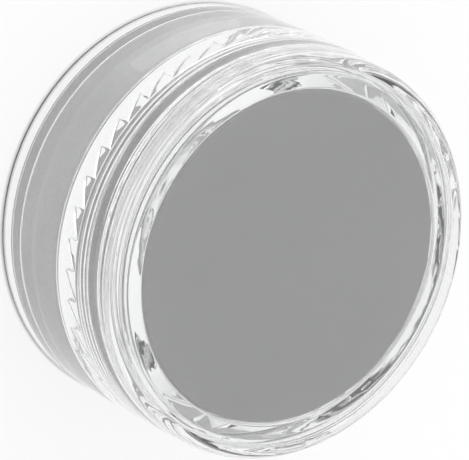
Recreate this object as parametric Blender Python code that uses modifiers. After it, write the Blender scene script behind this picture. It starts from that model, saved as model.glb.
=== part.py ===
"""Round screw-top wet palette: a heavy clear jar, a sponge pad, a palette disc, a sealing disc and a lid.

The jar stands on its foot ring at z = 0 and every piece is turned about the Z axis.
The lid is a right-hand screw cap: one turn about +Z raises it by one thread pitch.
"""
import math

import bmesh
import bpy
from mathutils import Matrix, Vector

# Driving dimensions, in metres.
FACETS = 84                     # facets round every turned piece
FIT_GAP = 0.0003                # gap left between two pieces that touch

JAR_RADIUS = 0.0310             # outer radius at the foot
JAR_DRAFT = 0.00015             # how far the outer wall leans in up to the shoulder
JAR_WALL = 0.0028
SHOULDER_HEIGHT = 0.0157        # foot to the top of the shoulder
SHOULDER_THICKNESS = 0.0078     # top of the shoulder down to the top of the cavity's upright wall
SHOULDER_EDGE_RADIUS = 0.0005
FOOT_RECESS = 0.0020            # how far the floor is raised off the table
FOOT_RING_WIDTH = 0.0013
FOOT_EDGE_RADIUS = 0.0005
FLOOR_THICKNESS = 0.0013
CAVITY_CORNER_RADIUS = 0.0008
CAVITY_SLOPE_RISE = 0.0078      # height of the cavity's sloping upper part
CAVITY_SLOPE_RADIUS = 0.0010    # rounding where the slope meets the upright wall and the bore

NECK_WALL = 0.0023
NECK_HEIGHT = 0.0129            # shoulder to rim
NECK_RIM_RADIUS = 0.0004

THREAD_PITCH = 0.0045
THREAD_DEPTH = 0.0009
THREAD_WIDTH_SHARE = 0.45       # width of a thread ridge at its root, as a share of the pitch
THREAD_CREST_SHARE = 0.48       # width of its crest, as a share of the root's
NECK_THREAD_START = math.radians(115)   # direction of the lower end of the neck's thread
NECK_THREAD_RISE = 0.0043       # shoulder up to the middle of the thread's lower end
NECK_THREAD_DROP = 0.0024       # rim down to the middle of the thread's upper end
LID_THREAD_RISE = 0.0011        # ledge up to the middle of the thread's lower end
LID_THREAD_DROP = 0.0030        # sealing disc down to the middle of the thread's upper end

SEAL_THICKNESS = 0.0004
SEAL_OVERHANG = 0.0006          # how far the sealing disc reaches past the neck

LID_SET_BACK = 0.00005          # how far the lid's lower edge stands in from the jar's foot
LID_TOP_THICKNESS = 0.0010
LID_WALL = 0.00275
LID_DRAFT = 0.00104             # how far the lid's outer wall leans in up to its top
LID_SHOULDER_RADIUS = 0.0015
LID_INNER_CORNER_RADIUS = 0.0004
LID_EDGE_WALL = 0.0008          # thin skirt below the ledge that the teeth hang from
LID_EDGE_HEIGHT = 0.0040        # lower edge of the skirt up to the ledge
LID_EDGE_RADIUS = 0.0003

TOOTH_COUNT = 42
TOOTH_HEIGHT = 0.0022
TOOTH_DEPTH = 0.0007            # how far the teeth stand in from the skirt
TOOTH_LAND = 0.03               # flat between teeth, as a share of the tooth spacing
TOOTH_SUNK = 0.00006            # how far a tooth's slope ends above the ledge, inside the wall

PAD_CORNER_RADIUS = 0.0010
DISC_THICKNESS = 0.0040
DISC_DROP = 0.00005             # rim down to the top of the palette disc
DISC_EDGE_RADIUS = 0.0003

EMBED = 0.0003                  # how far an added form reaches into the piece it grows from

# Radii and heights that follow from the driving dimensions; the lid stands flush over the jar,
# so the neck and its bore follow inwards from the jar's radius.
LID_RADIUS = JAR_RADIUS - LID_SET_BACK
LID_BORE_RADIUS = LID_RADIUS - LID_WALL
NECK_RADIUS = LID_BORE_RADIUS - FIT_GAP - THREAD_DEPTH
NECK_BORE_RADIUS = NECK_RADIUS - NECK_WALL
CAVITY_RADIUS = JAR_RADIUS - JAR_WALL
FLOOR_TOP = FOOT_RECESS + FLOOR_THICKNESS
SLOPE_BOTTOM = SHOULDER_HEIGHT - SHOULDER_THICKNESS
SLOPE_TOP = SLOPE_BOTTOM + CAVITY_SLOPE_RISE
RIM_HEIGHT = SHOULDER_HEIGHT + NECK_HEIGHT
SEAL_BOTTOM = RIM_HEIGHT + FIT_GAP
SEAL_RADIUS = NECK_RADIUS + SEAL_OVERHANG
LID_EDGE = SHOULDER_HEIGHT + FIT_GAP
LID_UNDERSIDE = SEAL_BOTTOM + SEAL_THICKNESS + FIT_GAP
LID_TOP = LID_UNDERSIDE + LID_TOP_THICKNESS
LEDGE_HEIGHT = LID_EDGE + LID_EDGE_HEIGHT
SKIRT_INNER_RADIUS = LID_RADIUS - LID_EDGE_WALL
DISC_TOP = RIM_HEIGHT - DISC_DROP
DISC_BOTTOM = DISC_TOP - DISC_THICKNESS
PAD_TOP = DISC_BOTTOM - FIT_GAP
NECK_THREAD_BOTTOM = SHOULDER_HEIGHT + NECK_THREAD_RISE
NECK_THREAD_TOP = RIM_HEIGHT - NECK_THREAD_DROP
LID_THREAD_BOTTOM = LEDGE_HEIGHT + LID_THREAD_RISE
LID_THREAD_TOP = SEAL_BOTTOM - LID_THREAD_DROP
THREAD_ROOT_WIDTH = THREAD_PITCH * THREAD_WIDTH_SHARE
THREAD_CREST_WIDTH = THREAD_ROOT_WIDTH * THREAD_CREST_SHARE


def clear_scene():
    """Remove every object, so that the model starts from nothing."""
    for old in list(bpy.data.objects):
        bpy.data.objects.remove(old, do_unlink=True)


def new_collection(name):
    """Add a collection to the scene."""
    collection = bpy.data.collections.new(name)
    bpy.context.scene.collection.children.link(collection)
    return collection


def plastic(name, colour, roughness, alpha=1.0, transmission=0.0):
    """Principled material of one piece."""
    material = bpy.data.materials.new(name)
    material.use_nodes = True
    shader = material.node_tree.nodes["Principled BSDF"]
    shader.inputs["Base Color"].default_value = (*colour, 1.0)
    shader.inputs["Roughness"].default_value = roughness
    shader.inputs["Metallic"].default_value = 0.0
    shader.inputs["Alpha"].default_value = alpha
    shader.inputs["Transmission Weight"].default_value = transmission
    return material


def rounded(corners):
    """Outline points from (radius, height) corners; one given a fillet and steps is rounded."""
    points = []
    for place, (radius, height, *rounding) in enumerate(corners):
        corner = Vector((radius, height))
        if not rounding:
            points.append(corner)
            continue
        fillet, steps = rounding
        before = (Vector(corners[place - 1][:2]) - corner).normalized()
        after = (Vector(corners[place + 1][:2]) - corner).normalized()
        half = before.angle(after) / 2
        centre = corner + (before + after).normalized() * fillet / math.sin(half)
        spoke = corner + before * fillet / math.tan(half) - centre
        sweep = math.copysign(math.pi - 2 * half, -before.cross(after))
        for step in range(steps + 1):
            points.append(centre + Matrix.Rotation(sweep * step / steps, 2) @ spoke)
    return points


def turned(name, outline, collection, material):
    """Solid of revolution about Z from an outline of corners."""
    mesh = bpy.data.meshes.new(name)
    shape = bmesh.new()
    corners = [shape.verts.new((radius, 0.0, height)) for radius, height in rounded(outline)]
    for first, second in zip(corners, corners[1:]):
        shape.edges.new((first, second))
    shape.to_mesh(mesh)
    shape.free()
    piece = bpy.data.objects.new(name, mesh)
    collection.objects.link(piece)
    mesh.materials.append(material)
    screw = piece.modifiers.new("turn", "SCREW")
    screw.axis = "Z"
    screw.steps = FACETS
    screw.render_steps = FACETS
    screw.use_merge_vertices = True
    screw.merge_threshold = 0.00001
    screw.use_smooth_shade = True
    return piece


def joined(piece, form):
    """Fuse an added form into its piece."""
    form.hide_render = True
    form.display_type = "WIRE"
    boolean = piece.modifiers.new("add_" + form.name, "BOOLEAN")
    boolean.operation = "UNION"
    boolean.solver = "EXACT"
    boolean.object = form


def finished(piece, forms=(), limit_deg=30):
    """Settle a piece as one mesh: round faces shade smooth, and its sharper corners stay crisp."""
    graph = bpy.context.evaluated_depsgraph_get()
    mesh = bpy.data.meshes.new_from_object(piece.evaluated_get(graph))
    mesh.name = piece.name
    piece.modifiers.clear()
    piece.data = mesh
    mesh.shade_smooth()
    mesh.set_sharp_from_angle(angle=math.radians(limit_deg))
    for form in forms:
        bpy.data.objects.remove(form, do_unlink=True)
    return piece


def helical_ridge(name, root_radius, crest_radius, start_angle, bottom, top, forms):
    """Screw-thread ridge: a trapezoid swept up a right-hand helix, its root sunk into the wall.

    bottom and top are the heights of the ridge's middle at its two ends.
    """
    sunk_radius = root_radius - math.copysign(EMBED, crest_radius - root_radius)
    half_root = THREAD_ROOT_WIDTH / 2
    half_crest = THREAD_CREST_WIDTH / 2
    section = [
        (sunk_radius, -half_root),
        (root_radius, -half_root),
        (crest_radius, -half_crest),
        (crest_radius, half_crest),
        (root_radius, half_root),
        (sunk_radius, half_root),
    ]
    shape = bmesh.new()
    direction = (math.cos(start_angle), math.sin(start_angle))
    corners = [
        shape.verts.new((radius * direction[0], radius * direction[1], bottom + offset))
        for radius, offset in section
    ]
    face = shape.faces.new(corners)
    steps = round((top - bottom) / THREAD_PITCH * FACETS)
    bmesh.ops.spin(
        shape,
        geom=[face, *face.edges, *face.verts],
        cent=(0.0, 0.0, 0.0),
        axis=(0.0, 0.0, 1.0),
        dvec=(0.0, 0.0, THREAD_PITCH / FACETS),
        angle=steps * 2 * math.pi / FACETS,
        steps=steps,
        use_merge=False,
        use_duplicate=False,
    )
    bmesh.ops.recalc_face_normals(shape, faces=shape.faces[:])
    mesh = bpy.data.meshes.new(name)
    shape.to_mesh(mesh)
    shape.free()
    ridge = bpy.data.objects.new(name, mesh)
    forms.objects.link(ridge)
    return ridge


def lid_thread_start():
    """Direction in which the lid's thread starts, so that it seats under the neck's thread."""
    flank_run = (THREAD_ROOT_WIDTH - THREAD_CREST_WIDTH) / 2
    touching = THREAD_ROOT_WIDTH - flank_run * (THREAD_DEPTH + FIT_GAP) / THREAD_DEPTH
    rise = LID_THREAD_BOTTOM + touching + FIT_GAP - NECK_THREAD_BOTTOM
    return NECK_THREAD_START + 2 * math.pi * rise / THREAD_PITCH


def tooth_ring(name, forms):
    """Sawteeth under the outer part of the ledge: a steep flank, then a slope back up to the ledge."""
    inner_radius = SKIRT_INNER_RADIUS - TOOTH_DEPTH
    outer_radius = SKIRT_INNER_RADIUS + EMBED
    spacing = 2 * math.pi / TOOTH_COUNT
    width = spacing * (1 - TOOTH_LAND)
    top = LEDGE_HEIGHT + EMBED
    flank = [
        (0.0, top),
        (0.0, LEDGE_HEIGHT - TOOTH_HEIGHT),
        (width, LEDGE_HEIGHT + TOOTH_SUNK),
        (width, top),
    ]
    shape = bmesh.new()
    for tooth in range(TOOTH_COUNT):
        rings = []
        for radius in (inner_radius, outer_radius):
            rings.append([
                shape.verts.new((
                    radius * math.cos(tooth * spacing + angle),
                    radius * math.sin(tooth * spacing + angle),
                    height,
                ))
                for angle, height in flank
            ])
        for ring in rings:
            shape.faces.new(ring)
        inner, outer = rings
        for here in range(len(flank)):
            there = (here + 1) % len(flank)
            shape.faces.new((inner[here], inner[there], outer[there], outer[here]))
    bmesh.ops.recalc_face_normals(shape, faces=shape.faces[:])
    mesh = bpy.data.meshes.new(name)
    shape.to_mesh(mesh)
    shape.free()
    ring = bpy.data.objects.new(name, mesh)
    forms.objects.link(ring)
    return ring


def make_jar(parts, forms, material):
    """Heavy-walled jar: foot ring, raised floor, wide cavity, shoulder and threaded neck."""
    recess_radius = JAR_RADIUS - FOOT_RING_WIDTH
    outline = [
        (0.0, FLOOR_TOP),
        (CAVITY_RADIUS, FLOOR_TOP, CAVITY_CORNER_RADIUS, 3),
        (CAVITY_RADIUS, SLOPE_BOTTOM, CAVITY_SLOPE_RADIUS, 2),
        (NECK_BORE_RADIUS, SLOPE_TOP, CAVITY_SLOPE_RADIUS, 2),
        (NECK_BORE_RADIUS, RIM_HEIGHT, NECK_RIM_RADIUS, 2),
        (NECK_RADIUS, RIM_HEIGHT, NECK_RIM_RADIUS, 2),
        (NECK_RADIUS, SHOULDER_HEIGHT),
        (JAR_RADIUS - JAR_DRAFT, SHOULDER_HEIGHT, SHOULDER_EDGE_RADIUS, 2),
        (JAR_RADIUS, 0.0, FOOT_EDGE_RADIUS, 2),
        (recess_radius, 0.0),
        (recess_radius, FOOT_RECESS),
        (0.0, FOOT_RECESS),
    ]
    jar = turned("jar_body", outline, parts, material)
    thread = helical_ridge(
        "neck_thread",
        NECK_RADIUS,
        NECK_RADIUS + THREAD_DEPTH,
        NECK_THREAD_START,
        NECK_THREAD_BOTTOM,
        NECK_THREAD_TOP,
        forms,
    )
    joined(jar, thread)
    return finished(jar, [thread])


def make_pad(parts, material):
    """Sponge pad: fills the cavity and stands up into the neck under the palette disc."""
    wide_radius = CAVITY_RADIUS - FIT_GAP
    narrow_radius = NECK_BORE_RADIUS - FIT_GAP
    slope = CAVITY_SLOPE_RISE / (CAVITY_RADIUS - NECK_BORE_RADIUS)
    below = FIT_GAP * (math.hypot(1, slope) - slope)
    outline = [
        (0.0, PAD_TOP),
        (narrow_radius, PAD_TOP),
        (narrow_radius, SLOPE_TOP - below),
        (wide_radius, SLOPE_BOTTOM - below, PAD_CORNER_RADIUS, 3),
        (wide_radius, FLOOR_TOP + FIT_GAP, PAD_CORNER_RADIUS, 3),
        (0.0, FLOOR_TOP + FIT_GAP),
    ]
    pad = turned("sponge_pad", outline, parts, material)
    return finished(pad)


def make_disc(parts, material):
    """Flat grey palette disc that lies on the pad, just under the rim."""
    radius = NECK_BORE_RADIUS - FIT_GAP
    outline = [
        (0.0, DISC_TOP),
        (radius, DISC_TOP, DISC_EDGE_RADIUS, 2),
        (radius, DISC_BOTTOM),
        (0.0, DISC_BOTTOM),
    ]
    disc = turned("palette_disc", outline, parts, material)
    return finished(disc)


def make_seal(parts, material):
    """Thin flat clear sealing disc that lies on the rim of the neck."""
    outline = [
        (0.0, SEAL_BOTTOM + SEAL_THICKNESS),
        (SEAL_RADIUS, SEAL_BOTTOM + SEAL_THICKNESS),
        (SEAL_RADIUS, SEAL_BOTTOM),
        (0.0, SEAL_BOTTOM),
    ]
    seal = turned("seal_disc", outline, parts, material)
    return finished(seal)


def make_lid(parts, forms, material):
    """Screw lid: flat top, round shoulder, threaded wall, ledge with a tooth ring, and thin skirt."""
    outline = [
        (0.0, LID_TOP),
        (LID_RADIUS - LID_DRAFT, LID_TOP, LID_SHOULDER_RADIUS, 5),
        (LID_RADIUS, LID_EDGE, LID_EDGE_RADIUS, 1),
        (SKIRT_INNER_RADIUS, LID_EDGE),
        (SKIRT_INNER_RADIUS, LEDGE_HEIGHT),
        (LID_BORE_RADIUS, LEDGE_HEIGHT),
        (LID_BORE_RADIUS, LID_UNDERSIDE, LID_INNER_CORNER_RADIUS, 2),
        (0.0, LID_UNDERSIDE),
    ]
    lid = turned("screw_lid", outline, parts, material)
    thread = helical_ridge(
        "lid_thread",
        LID_BORE_RADIUS,
        LID_BORE_RADIUS - THREAD_DEPTH,
        lid_thread_start(),
        LID_THREAD_BOTTOM,
        LID_THREAD_TOP,
        forms,
    )
    teeth = tooth_ring("lid_teeth", forms)
    joined(lid, thread)
    joined(lid, teeth)
    return finished(lid, [thread, teeth])


def main():
    clear_scene()
    parts = new_collection("round_wet_palette")
    forms = new_collection("added_forms")
    clear = plastic("clear_plastic", (0.93, 0.94, 0.94), 0.05, 0.35, 0.9)
    seal = plastic("clear_seal", (0.90, 0.91, 0.91), 0.12, 0.35, 0.9)
    sponge = plastic("grey_sponge", (0.5, 0.5, 0.5), 0.9)
    palette = plastic("grey_palette", (0.5, 0.5, 0.5), 0.8)
    make_jar(parts, forms, clear)
    make_pad(parts, sponge)
    make_disc(parts, palette)
    make_seal(parts, seal)
    make_lid(parts, forms, clear)


main()
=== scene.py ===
import math

import bmesh
import bpy
from mathutils import Euler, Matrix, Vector


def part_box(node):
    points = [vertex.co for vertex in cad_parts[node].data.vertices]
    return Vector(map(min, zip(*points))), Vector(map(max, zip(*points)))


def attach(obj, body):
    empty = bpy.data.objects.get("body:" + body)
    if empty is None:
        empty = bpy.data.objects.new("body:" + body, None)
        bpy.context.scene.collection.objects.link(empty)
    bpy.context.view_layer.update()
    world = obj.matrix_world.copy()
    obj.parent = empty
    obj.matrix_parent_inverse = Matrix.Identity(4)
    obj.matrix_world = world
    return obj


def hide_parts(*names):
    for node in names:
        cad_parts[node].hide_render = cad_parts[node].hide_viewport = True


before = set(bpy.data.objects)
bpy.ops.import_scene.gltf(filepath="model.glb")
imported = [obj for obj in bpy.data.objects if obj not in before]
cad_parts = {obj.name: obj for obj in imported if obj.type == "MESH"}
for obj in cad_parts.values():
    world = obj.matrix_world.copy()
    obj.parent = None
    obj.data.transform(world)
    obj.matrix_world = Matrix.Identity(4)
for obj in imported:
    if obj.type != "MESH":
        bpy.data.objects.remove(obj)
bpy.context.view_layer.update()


# Jar body.
# A squat clear plastic jar with a heavy wall, blown from a preform whose threaded neck was moulded first.
# It stands on a narrow ring under a raised floor, and inside the wall slopes in to the narrower neck.
jar_low, jar_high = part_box("jar_body")
pad_low, pad_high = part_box("sponge_pad")
disc_low, disc_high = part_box("palette_disc")
seal_low, seal_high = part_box("seal_disc")
lid_low, lid_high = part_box("screw_lid")

TURNED_STEPS = 420              # facets round every turned piece, ten to each lid tooth
ROUNDING_SEGMENTS = 6
FIT_GAP = 0.0003
JAR_RADIUS = jar_high.x
JAR_DRAFT = 0.00015
JAR_WALL = 0.0028
FOOT_RECESS = 0.0020
FOOT_RING_WIDTH = 0.0013
FOOT_ROUNDING = 0.0005
FLOOR_TOP = 0.0033
CAVITY_RADIUS = JAR_RADIUS - JAR_WALL
CAVITY_ROUNDING = 0.0008
SHOULDER_HEIGHT = lid_low.z - FIT_GAP
SLOPE_BOTTOM = 0.0079
SLOPE_TOP = 0.0157
SLOPE_ROUNDING = 0.0010
SHOULDER_ROUNDING = 0.0005
NECK_BORE_RADIUS = disc_high.x + FIT_GAP
NECK_WALL = 0.0023
NECK_RADIUS = NECK_BORE_RADIUS + NECK_WALL
NECK_RIM_ROUNDING = 0.0004
RIM_HEIGHT = jar_high.z
THREAD_PITCH = 0.0045
THREAD_DEPTH = 0.0009
THREAD_ROOT_WIDTH = 0.62 * THREAD_PITCH
THREAD_CREST_WIDTH = 0.15 * THREAD_ROOT_WIDTH
THREAD_ROW = 0.00009            # spacing of the mesh rows that carry a thread
NECK_THREAD_START = math.radians(115)
NECK_THREAD_BOTTOM = SHOULDER_HEIGHT + 0.0043
NECK_THREAD_TOP = RIM_HEIGHT - 0.0024
CLEAR_TINT = (0.985, 0.988, 0.988)
PLASTIC_IOR = 1.5
HAZE = 0.03                     # roughness of the haziest spots
HAZE_SCALE = 900.0
HAZE_SHARPNESS = 3.0
RIPPLE_SCALE = 320.0
MOULDED_RIPPLE = 0.00002


def outline(corners, rows=()):
    """Half outline in the XZ plane from (radius, height, rounding) corners.

    Each of rows is the number of the corner that a straight edge starts from, and how often to cut the edge.
    """
    shape = bmesh.new()
    points = [shape.verts.new((radius, 0.0, height)) for radius, height, _ in corners]
    edges = [shape.edges.new(pair) for pair in zip(points, points[1:])]
    for first_corner, cuts in rows:
        bmesh.ops.subdivide_edges(shape, edges=[edges[first_corner]], cuts=cuts)
    for radius, height, rounding in corners:
        if rounding:
            place = Vector((radius, 0.0, height))
            corner = min(shape.verts, key=lambda point: (point.co - place).length)
            bmesh.ops.bevel(
                shape,
                geom=[corner],
                offset=rounding,
                offset_type="OFFSET",
                affect="VERTICES",
                segments=ROUNDING_SEGMENTS,
                profile=0.5,
                material=-1,
                clamp_overlap=False,
            )
    return shape


def turn(shape):
    """Spin a half outline once about Z into a closed solid."""
    bmesh.ops.spin(
        shape,
        geom=shape.verts[:] + shape.edges[:],
        cent=(0.0, 0.0, 0.0),
        axis=(0.0, 0.0, 1.0),
        dvec=(0.0, 0.0, 0.0),
        angle=2 * math.pi,
        steps=TURNED_STEPS,
        use_merge=True,
        use_duplicate=False,
    )
    bmesh.ops.remove_doubles(shape, verts=shape.verts[:], dist=1e-6)
    return shape


def raise_thread(shape, wall_radius, depth, start, bottom, top, mark_pitch=1.0, mark_height=0.0):
    """Push the rows of a wall out, or in for a negative depth, into one helical ridge, with fine marks."""
    turns = (top - bottom) / THREAD_PITCH
    half_root = THREAD_ROOT_WIDTH / 2
    half_crest = THREAD_CREST_WIDTH / 2
    for point in shape.verts:
        radius = math.hypot(point.co.x, point.co.y)
        if abs(radius - wall_radius) > 1e-6:
            continue
        part_turn = ((math.atan2(point.co.y, point.co.x) - start) / (2 * math.pi)) % 1.0
        nearest = half_root
        for lap in range(-1, math.ceil(turns) + 1):
            along = min(max(part_turn + lap, 0.0), turns)
            past_end = (part_turn + lap - along) * 2 * math.pi * wall_radius
            across = point.co.z - bottom - along * THREAD_PITCH
            nearest = min(nearest, math.hypot(past_end, across))
        share = min(max((half_root - nearest) / (half_root - half_crest), 0.0), 1.0)
        smooth = share * share * (3 - 2 * share)
        mark = math.sin(2 * math.pi * point.co.z / mark_pitch - math.atan2(point.co.y, point.co.x))
        push = (wall_radius + depth * smooth + mark_height * mark) / radius
        point.co.x *= push
        point.co.y *= push


def settle(shape, name, material, body, node, sharp_degrees=35):
    """Make the mesh an object of one material that stands for its CAD node."""
    bmesh.ops.recalc_face_normals(shape, faces=shape.faces[:])
    mesh = bpy.data.meshes.new(name)
    shape.to_mesh(mesh)
    shape.free()
    mesh.shade_smooth()
    mesh.set_sharp_from_angle(angle=math.radians(sharp_degrees))
    mesh.materials.append(material)
    piece = bpy.data.objects.new(name, mesh)
    bpy.context.scene.collection.objects.link(piece)
    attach(piece, body)
    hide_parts(node)
    return piece


def effect_group(name, inputs, outputs):
    """Empty node group with named sockets; returns it with its input and output nodes."""
    group = bpy.data.node_groups.new(name, "ShaderNodeTree")
    for label, kind, value in inputs:
        socket = group.interface.new_socket(label, in_out="INPUT", socket_type=kind)
        if kind == "NodeSocketFloat":
            socket.default_value = value
    for label, kind in outputs:
        group.interface.new_socket(label, in_out="OUTPUT", socket_type=kind)
    return group, group.nodes.new("NodeGroupInput"), group.nodes.new("NodeGroupOutput")


def math_node(tree, operation, first, second):
    """Math node of two inputs, each a socket or a number; returns its output."""
    node = tree.nodes.new("ShaderNodeMath")
    node.operation = operation
    for socket, value in zip(node.inputs, (first, second)):
        if isinstance(value, (int, float)):
            socket.default_value = value
        else:
            tree.links.new(value, socket)
    return node.outputs["Value"]


def noise(tree, coordinates, scale, detail):
    """Noise texture on the given coordinates, its scale a socket or a number; returns its value."""
    node = tree.nodes.new("ShaderNodeTexNoise")
    node.inputs["Detail"].default_value = detail
    tree.links.new(coordinates, node.inputs["Vector"])
    if isinstance(scale, (int, float)):
        node.inputs["Scale"].default_value = scale
    else:
        tree.links.new(scale, node.inputs["Scale"])
    return node.outputs["Fac"]


def moulded_gloss():
    """Gloss of moulded plastic: a faint slow ripple from the mould and fine handling haze."""
    group, given, result = effect_group(
        "moulded_gloss",
        [
            ("Coordinates", "NodeSocketVector", None),
            ("Ripple Scale", "NodeSocketFloat", 300.0),
            ("Haze", "NodeSocketFloat", 0.05),
        ],
        [("Roughness", "NodeSocketFloat"), ("Height", "NodeSocketFloat")],
    )
    place = given.outputs["Coordinates"]
    ripple = noise(group, place, given.outputs["Ripple Scale"], 1.0)
    haze = noise(group, place, HAZE_SCALE, 4.0)
    haze = math_node(group, "POWER", haze, HAZE_SHARPNESS)
    rough = math_node(group, "MULTIPLY", haze, given.outputs["Haze"])
    group.links.new(rough, result.inputs["Roughness"])
    group.links.new(ripple, result.inputs["Height"])
    return group


def clear_moulding(name, effect, ripple_height):
    """Clear moulded plastic with a ripple of the given height."""
    material = bpy.data.materials.new(name)
    material.use_nodes = True
    tree = material.node_tree
    shader = tree.nodes["Principled BSDF"]
    shader.inputs["Base Color"].default_value = (*CLEAR_TINT, 1.0)
    shader.inputs["Metallic"].default_value = 0.0
    shader.inputs["Transmission Weight"].default_value = 1.0
    shader.inputs["IOR"].default_value = PLASTIC_IOR
    place = tree.nodes.new("ShaderNodeTexCoord")
    gloss = tree.nodes.new("ShaderNodeGroup")
    gloss.node_tree = effect
    gloss.inputs["Ripple Scale"].default_value = RIPPLE_SCALE
    gloss.inputs["Haze"].default_value = HAZE
    tree.links.new(place.outputs["Object"], gloss.inputs["Coordinates"])
    bump = tree.nodes.new("ShaderNodeBump")
    bump.inputs["Distance"].default_value = ripple_height
    tree.links.new(gloss.outputs["Height"], bump.inputs["Height"])
    tree.links.new(gloss.outputs["Roughness"], shader.inputs["Roughness"])
    tree.links.new(bump.outputs["Normal"], shader.inputs["Normal"])
    return material


gloss_effect = moulded_gloss()
clear_plastic = clear_moulding("clear_plastic", gloss_effect, MOULDED_RIPPLE)

shoulder_radius = JAR_RADIUS - JAR_DRAFT
recess_radius = JAR_RADIUS - FOOT_RING_WIDTH
neck_rows = round((RIM_HEIGHT - SHOULDER_HEIGHT) / THREAD_ROW)
jar_shape = turn(outline(
    [
        (0.0, FLOOR_TOP, 0.0),
        (CAVITY_RADIUS, FLOOR_TOP, CAVITY_ROUNDING),
        (CAVITY_RADIUS, SLOPE_BOTTOM, SLOPE_ROUNDING),
        (NECK_BORE_RADIUS, SLOPE_TOP, SLOPE_ROUNDING),
        (NECK_BORE_RADIUS, RIM_HEIGHT, NECK_RIM_ROUNDING),
        (NECK_RADIUS, RIM_HEIGHT, NECK_RIM_ROUNDING),
        (NECK_RADIUS, SHOULDER_HEIGHT, 0.0),
        (shoulder_radius, SHOULDER_HEIGHT, SHOULDER_ROUNDING),
        (JAR_RADIUS, jar_low.z, FOOT_ROUNDING),
        (recess_radius, jar_low.z, FOOT_ROUNDING / 2),
        (recess_radius, FOOT_RECESS, FOOT_ROUNDING / 2),
        (0.0, FOOT_RECESS, 0.0),
    ],
    rows=[(5, neck_rows)],
))
raise_thread(
    jar_shape,
    NECK_RADIUS,
    THREAD_DEPTH,
    NECK_THREAD_START,
    NECK_THREAD_BOTTOM,
    NECK_THREAD_TOP,
)
jar_body = settle(jar_shape, "clear_jar", clear_plastic, "jar", "jar_body")


# Sponge pad.
# A thick plug of fine grey foam, cut to shape and pressed in through the neck, then let out.
# It fills the wide part of the jar, grips the wall and the floor, and stands up into the neck.
PAD_WIDE_RADIUS = CAVITY_RADIUS + 0.00001
PAD_BEDDING = 0.00001           # the pad's underside is pressed into the floor by this much
PAD_ROUNDING = 0.0010
PAD_SLOPE_DROP = 0.00012        # the foam stops this far short of the sloping plastic above it
MOTTLE_SCALE = 90.0
SPONGE_GREY = (0.70, 0.70, 0.70)


def grain():
    """Mottling and pores of a dull surface: a colour that wanders about the given one, and a height."""
    group, given, result = effect_group(
        "dull_grain",
        [
            ("Coordinates", "NodeSocketVector", None),
            ("Color", "NodeSocketColor", None),
            ("Grain Scale", "NodeSocketFloat", 2500.0),
            ("Contrast", "NodeSocketFloat", 0.1),
        ],
        [("Color", "NodeSocketColor"), ("Height", "NodeSocketFloat")],
    )
    place = given.outputs["Coordinates"]
    fine = noise(group, place, given.outputs["Grain Scale"], 3.0)
    broad = noise(group, place, MOTTLE_SCALE, 2.0)
    both = math_node(group, "ADD", fine, broad)
    centred = math_node(group, "SUBTRACT", both, 1.0)
    swing = math_node(group, "MULTIPLY", centred, given.outputs["Contrast"])
    level = math_node(group, "ADD", swing, 1.0)
    shade = group.nodes.new("ShaderNodeVectorMath")
    shade.operation = "SCALE"
    group.links.new(given.outputs["Color"], shade.inputs["Vector"])
    group.links.new(level, shade.inputs["Scale"])
    group.links.new(shade.outputs["Vector"], result.inputs["Color"])
    group.links.new(fine, result.inputs["Height"])
    return group


def dull_material(name, effect, colour, roughness, grain_scale, contrast, height):
    """Matt surface with grain."""
    material = bpy.data.materials.new(name)
    material.use_nodes = True
    tree = material.node_tree
    shader = tree.nodes["Principled BSDF"]
    shader.inputs["Roughness"].default_value = roughness
    place = tree.nodes.new("ShaderNodeTexCoord")
    surface = tree.nodes.new("ShaderNodeGroup")
    surface.node_tree = effect
    surface.inputs["Color"].default_value = (*colour, 1.0)
    surface.inputs["Grain Scale"].default_value = grain_scale
    surface.inputs["Contrast"].default_value = contrast
    tree.links.new(place.outputs["Object"], surface.inputs["Coordinates"])
    bump = tree.nodes.new("ShaderNodeBump")
    bump.inputs["Distance"].default_value = height
    tree.links.new(surface.outputs["Height"], bump.inputs["Height"])
    tree.links.new(surface.outputs["Color"], shader.inputs["Base Color"])
    tree.links.new(bump.outputs["Normal"], shader.inputs["Normal"])
    return material


grain_effect = grain()
grey_sponge = dull_material(
    "grey_sponge",
    grain_effect,
    SPONGE_GREY,
    roughness=0.9,
    grain_scale=2500.0,
    contrast=0.25,
    height=0.00004,
)

pad_floor = FLOOR_TOP - PAD_BEDDING
pad_shape = turn(outline(
    [
        (0.0, pad_high.z, 0.0),
        (disc_high.x, pad_high.z, PAD_ROUNDING / 2),
        (disc_high.x, SLOPE_TOP - PAD_SLOPE_DROP, PAD_ROUNDING),
        (PAD_WIDE_RADIUS, SLOPE_BOTTOM - PAD_SLOPE_DROP, PAD_ROUNDING),
        (PAD_WIDE_RADIUS, pad_floor, PAD_ROUNDING),
        (0.0, pad_floor, 0.0),
    ],
))
sponge_pad = settle(pad_shape, "foam_pad", grey_sponge, "jar", "sponge_pad")


# Palette disc.
# A flat disc with a dead matt grey face, on which the paint is laid out and mixed.
# It is cast in one piece, lies loose on the pad and ends just under the rim of the neck.
DISC_ROUNDING = 0.0003
PALETTE_GREY = (0.655, 0.655, 0.655)

grey_palette = dull_material(
    "grey_palette",
    grain_effect,
    PALETTE_GREY,
    roughness=0.75,
    grain_scale=1800.0,
    contrast=0.07,
    height=0.000005,
)
disc_shape = turn(outline(
    [
        (0.0, disc_high.z, 0.0),
        (disc_high.x, disc_high.z, DISC_ROUNDING),
        (disc_high.x, disc_low.z, DISC_ROUNDING),
        (0.0, disc_low.z, 0.0),
    ],
))
palette_disc = settle(disc_shape, "mixing_disc", grey_palette, "jar", "palette_disc")


# Sealing disc.
# A thin flat disc of soft clear plastic, stamped from sheet.
# The lid clamps its edge on to the rim of the neck, and so keeps the pad damp.
SEAL_ROUNDING = 0.00015
SEATED_GAP = 0.00002            # between the rim, the sealing disc and the lid when screwed down
SEAL_BOTTOM = RIM_HEIGHT + SEATED_GAP
SHEET_RIPPLE = 0.00001

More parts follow.
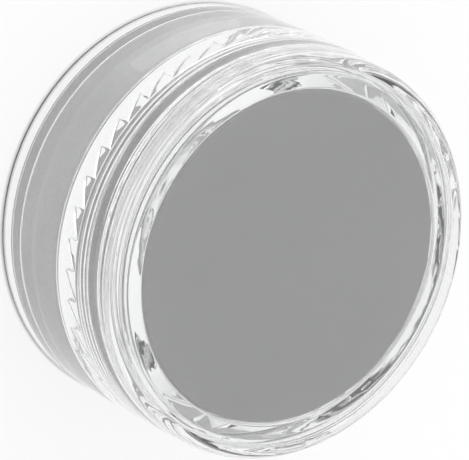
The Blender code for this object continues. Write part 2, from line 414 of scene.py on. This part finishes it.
clear_seal = clear_moulding("clear_seal", gloss_effect, SHEET_RIPPLE)
seal_shape = turn(outline(
    [
        (0.0, seal_high.z, 0.0),
        (seal_high.x, seal_high.z, SEAL_ROUNDING),
        (seal_high.x, SEAL_BOTTOM, SEAL_ROUNDING),
        (0.0, SEAL_BOTTOM, 0.0),
    ],
))
seal_disc = settle(seal_shape, "clear_seal_disc", clear_seal, "seal", "seal_disc")


# Screw lid.
# A low clear cap of the jar's own plastic, moulded on a threaded core that is screwed out of it.
# The ring of sawteeth inside its skirt holds the cap still while the core turns.
LID_RADIUS = lid_high.x
LID_WALL = 0.00275
LID_DRAFT = 0.00104
LID_BORE_RADIUS = LID_RADIUS - LID_WALL
LID_UNDERSIDE = seal_high.z + SEATED_GAP
LID_SHOULDER = 0.0015
LID_INNER_ROUNDING = 0.0004
LID_EDGE_ROUNDING = 0.0003
LID_EDGE_WALL = 0.0008
SKIRT_INNER_RADIUS = LID_RADIUS - LID_EDGE_WALL
LEDGE_HEIGHT = lid_low.z + 0.0040
TOOTH_COUNT = 42
TOOTH_HEIGHT = 0.0022
TOOTH_INNER_RADIUS = SKIRT_INNER_RADIUS - 0.0007
TOOTH_FACE = 0.00001            # how far the inner face of a tooth leans
TOOTH_ROUNDING = 0.00014
TOOTH_SHARES = (0.0, 0.02, 0.06, 0.2, 0.36, 0.52, 0.68, 0.84, 0.93, 0.97)  # columns of one tooth
THREAD_SEAT = 0.00162           # how far the lid's ridge lies under the neck's ridge
LID_THREAD_BOTTOM = LEDGE_HEIGHT + 0.0011
LID_THREAD_TOP = seal_low.z - 0.0030
CORE_MARK_PITCH = 0.00095       # fine helical marks that the turned mould core leaves in the lid
CORE_MARK_HEIGHT = 0.00004


def lid_thread_start():
    """Direction in which the lid's thread starts, so that it seats under the neck's thread."""
    rise = LID_THREAD_BOTTOM + THREAD_SEAT - NECK_THREAD_BOTTOM
    return NECK_THREAD_START + 2 * math.pi * rise / THREAD_PITCH


def cut_teeth(shape):
    """Draw the outer part of the ledge down into sawteeth: a steep flank, then a slope up to the ledge."""
    columns = TURNED_STEPS // TOOTH_COUNT
    spacing = 2 * math.pi / TOOTH_COUNT
    for point in shape.verts:
        radius = math.hypot(point.co.x, point.co.y)
        if radius < 1e-6:
            continue
        angle = math.atan2(point.co.y, point.co.x) % (2 * math.pi)
        column = round(angle / spacing * columns) % (TOOTH_COUNT * columns)
        tooth, step = divmod(column, columns)
        share = TOOTH_SHARES[step]
        turned = (tooth + share) * spacing
        point.co.x = radius * math.cos(turned)
        point.co.y = radius * math.sin(turned)
        on_ledge = abs(point.co.z - LEDGE_HEIGHT) < 1e-6
        if on_ledge and TOOTH_INNER_RADIUS - 1e-6 < radius < SKIRT_INNER_RADIUS + 1e-6:
            inset = min(radius - TOOTH_INNER_RADIUS, share * spacing * radius, TOOTH_ROUNDING)
            rounded_off = TOOTH_ROUNDING - math.sqrt(max(inset * (2 * TOOTH_ROUNDING - inset), 0.0))
            drop = TOOTH_HEIGHT * (1 - share / TOOTH_SHARES[-1]) - rounded_off
            point.co.z -= max(drop, 0.0)


lid_rows = round((LID_UNDERSIDE - LEDGE_HEIGHT) / THREAD_ROW)
top_radius = LID_RADIUS - LID_DRAFT
lid_shape = turn(outline(
    [
        (0.0, lid_high.z, 0.0),
        (top_radius, lid_high.z, LID_SHOULDER),
        (LID_RADIUS, lid_low.z, LID_EDGE_ROUNDING),
        (SKIRT_INNER_RADIUS, lid_low.z, LID_EDGE_ROUNDING),
        (SKIRT_INNER_RADIUS, LEDGE_HEIGHT, 0.0),
        (TOOTH_INNER_RADIUS + TOOTH_ROUNDING, LEDGE_HEIGHT, 0.0),
        (TOOTH_INNER_RADIUS + 0.4 * TOOTH_ROUNDING, LEDGE_HEIGHT, 0.0),
        (TOOTH_INNER_RADIUS + 0.1 * TOOTH_ROUNDING, LEDGE_HEIGHT, 0.0),
        (TOOTH_INNER_RADIUS, LEDGE_HEIGHT, 0.0),
        (TOOTH_INNER_RADIUS - TOOTH_FACE, LEDGE_HEIGHT, 0.0),
        (LID_BORE_RADIUS, LEDGE_HEIGHT, 0.0),
        (LID_BORE_RADIUS, LID_UNDERSIDE, LID_INNER_ROUNDING),
        (0.0, LID_UNDERSIDE, 0.0),
    ],
    rows=[(10, lid_rows)],
))
raise_thread(
    lid_shape,
    LID_BORE_RADIUS,
    -THREAD_DEPTH,
    lid_thread_start(),
    LID_THREAD_BOTTOM,
    LID_THREAD_TOP,
    CORE_MARK_PITCH,
    CORE_MARK_HEIGHT,
)
cut_teeth(lid_shape)
screw_lid = settle(lid_shape, "clear_lid", clear_plastic, "lid", "screw_lid")


# Floor and studio light.
# A plain white table top carries the jar and fills the view, and keeps its soft shadow. Under the jar's foot
# ring its glow is taken off, which paints a contact shadow there.
# A large soft lamp stands low at the jar's far side, and a pale sky fills the rest.
FLOOR_RADIUS = 4.0
FLOOR_GLOW = 0.80               # share of the floor's white that shadow can't darken
BENT_GLOW = 0.85                # the same for rays that have met clear plastic
PAINTED_CONTACT_SHADOW_WIDTH = 0.00035        # width over which the glow fades out towards the jar's foot ring, where a painted contact shadow shows


def white_floor():
    """White surface that partly glows for straight and bent rays, except where the jar stands on it, which
    paints a contact shadow there.
    """
    material = bpy.data.materials.new("white_table")
    material.use_nodes = True
    tree = material.node_tree
    tree.nodes.clear()
    paint = tree.nodes.new("ShaderNodeBsdfDiffuse")
    paint.inputs["Color"].default_value = (0.9, 0.9, 0.9, 1.0)
    glow = tree.nodes.new("ShaderNodeEmission")
    glow.inputs["Strength"].default_value = 1.0
    rays = tree.nodes.new("ShaderNodeLightPath")
    straight = math_node(tree, "MULTIPLY", rays.outputs["Is Camera Ray"], FLOOR_GLOW)
    bent = math_node(tree, "MAXIMUM", rays.outputs["Is Glossy Ray"], rays.outputs["Is Transmission Ray"])
    bent = math_node(tree, "MULTIPLY", bent, BENT_GLOW)
    share = math_node(tree, "MAXIMUM", straight, bent)
    # Painted contact shadow: the glow is taken off in a ring under the jar's foot, so only there the floor
    # shows its full shade.
    place = tree.nodes.new("ShaderNodeTexCoord")
    radius = tree.nodes.new("ShaderNodeVectorMath")
    radius.operation = "LENGTH"
    tree.links.new(place.outputs["Object"], radius.inputs[0])
    off_ring = math_node(tree, "SUBTRACT", radius.outputs["Value"], JAR_RADIUS - FOOT_RING_WIDTH / 2)
    off_ring = math_node(tree, "ABSOLUTE", off_ring, 0.0)
    off_ring = math_node(tree, "SUBTRACT", off_ring, FOOT_RING_WIDTH / 2)
    painted_shadow_fade = math_node(tree, "DIVIDE", off_ring, PAINTED_CONTACT_SHADOW_WIDTH)
    painted_shadow_fade = math_node(tree, "MINIMUM", math_node(tree, "MAXIMUM", painted_shadow_fade, 0.0), 1.0)
    share = math_node(tree, "MULTIPLY", share, painted_shadow_fade)
    mix = tree.nodes.new("ShaderNodeMixShader")
    surface = tree.nodes.new("ShaderNodeOutputMaterial")
    tree.links.new(share, mix.inputs["Fac"])
    tree.links.new(paint.outputs["BSDF"], mix.inputs[1])
    tree.links.new(glow.outputs["Emission"], mix.inputs[2])
    tree.links.new(mix.outputs["Shader"], surface.inputs["Surface"])
    return material


floor_shape = bmesh.new()
bmesh.ops.create_circle(floor_shape, cap_ends=True, radius=FLOOR_RADIUS, segments=96)
floor_mesh = bpy.data.meshes.new("table_top")
floor_shape.to_mesh(floor_mesh)
floor_shape.free()
floor_mesh.materials.append(white_floor())
table_top = bpy.data.objects.new("table_top", floor_mesh)
bpy.context.scene.collection.objects.link(table_top)


def soft_lamp(name, azimuth, elevation, distance, width, height, radiance):
    """Soft lamp that faces the jar; azimuth is measured from +X towards +Y, in degrees."""
    lamp = bpy.data.lights.new(name, "AREA")
    lamp.shape = "RECTANGLE"
    lamp.size = width
    lamp.size_y = height
    lamp.energy = radiance * math.pi * width * height
    holder = bpy.data.objects.new(name, lamp)
    around, above = math.radians(azimuth), math.radians(elevation)
    away = Vector((
        math.cos(around) * math.cos(above),
        math.sin(around) * math.cos(above),
        math.sin(above),
    ))
    holder.location = Vector((0.0, 0.0, RIM_HEIGHT / 2)) + away * distance
    holder.rotation_mode = "QUATERNION"
    holder.rotation_quaternion = away.to_track_quat("Z", "Y")
    bpy.context.scene.collection.objects.link(holder)
    return holder


soft_lamp("window_lamp", azimuth=85, elevation=25, distance=0.9, width=0.9, height=0.6, radiance=1.8)

sky = bpy.data.worlds.new("pale_sky")
sky.use_nodes = True
bpy.context.scene.world = sky
sky_tree = sky.node_tree
sky_light = sky_tree.nodes["Background"]
sky_light.inputs["Color"].default_value = (1.0, 1.0, 1.0, 1.0)
sky_light.inputs["Strength"].default_value = 1.0


# Camera.
# It looks down on the lid from one side, tipped round so that the jar seems to lie on its flank.
# The long lens keeps the lid and the foot nearly the same size.
camera_data = bpy.data.cameras.new("camera")
camera_data.lens = 191.9
camera_data.clip_start = 0.01
camera_data.clip_end = 20.0
camera = bpy.data.objects.new("camera", camera_data)
camera.location = (-0.20713, 0.08402, 0.30405)
camera.rotation_euler = Euler((math.radians(-19.375), math.radians(-32.919), math.radians(10.820)))
bpy.context.scene.collection.objects.link(camera)
bpy.context.scene.camera = camera

bpy.context.scene.view_settings.view_transform = "Standard"
bpy.context.scene.cycles.max_bounces = 64
bpy.context.scene.cycles.glossy_bounces = 64
bpy.context.scene.cycles.transmission_bounces = 64
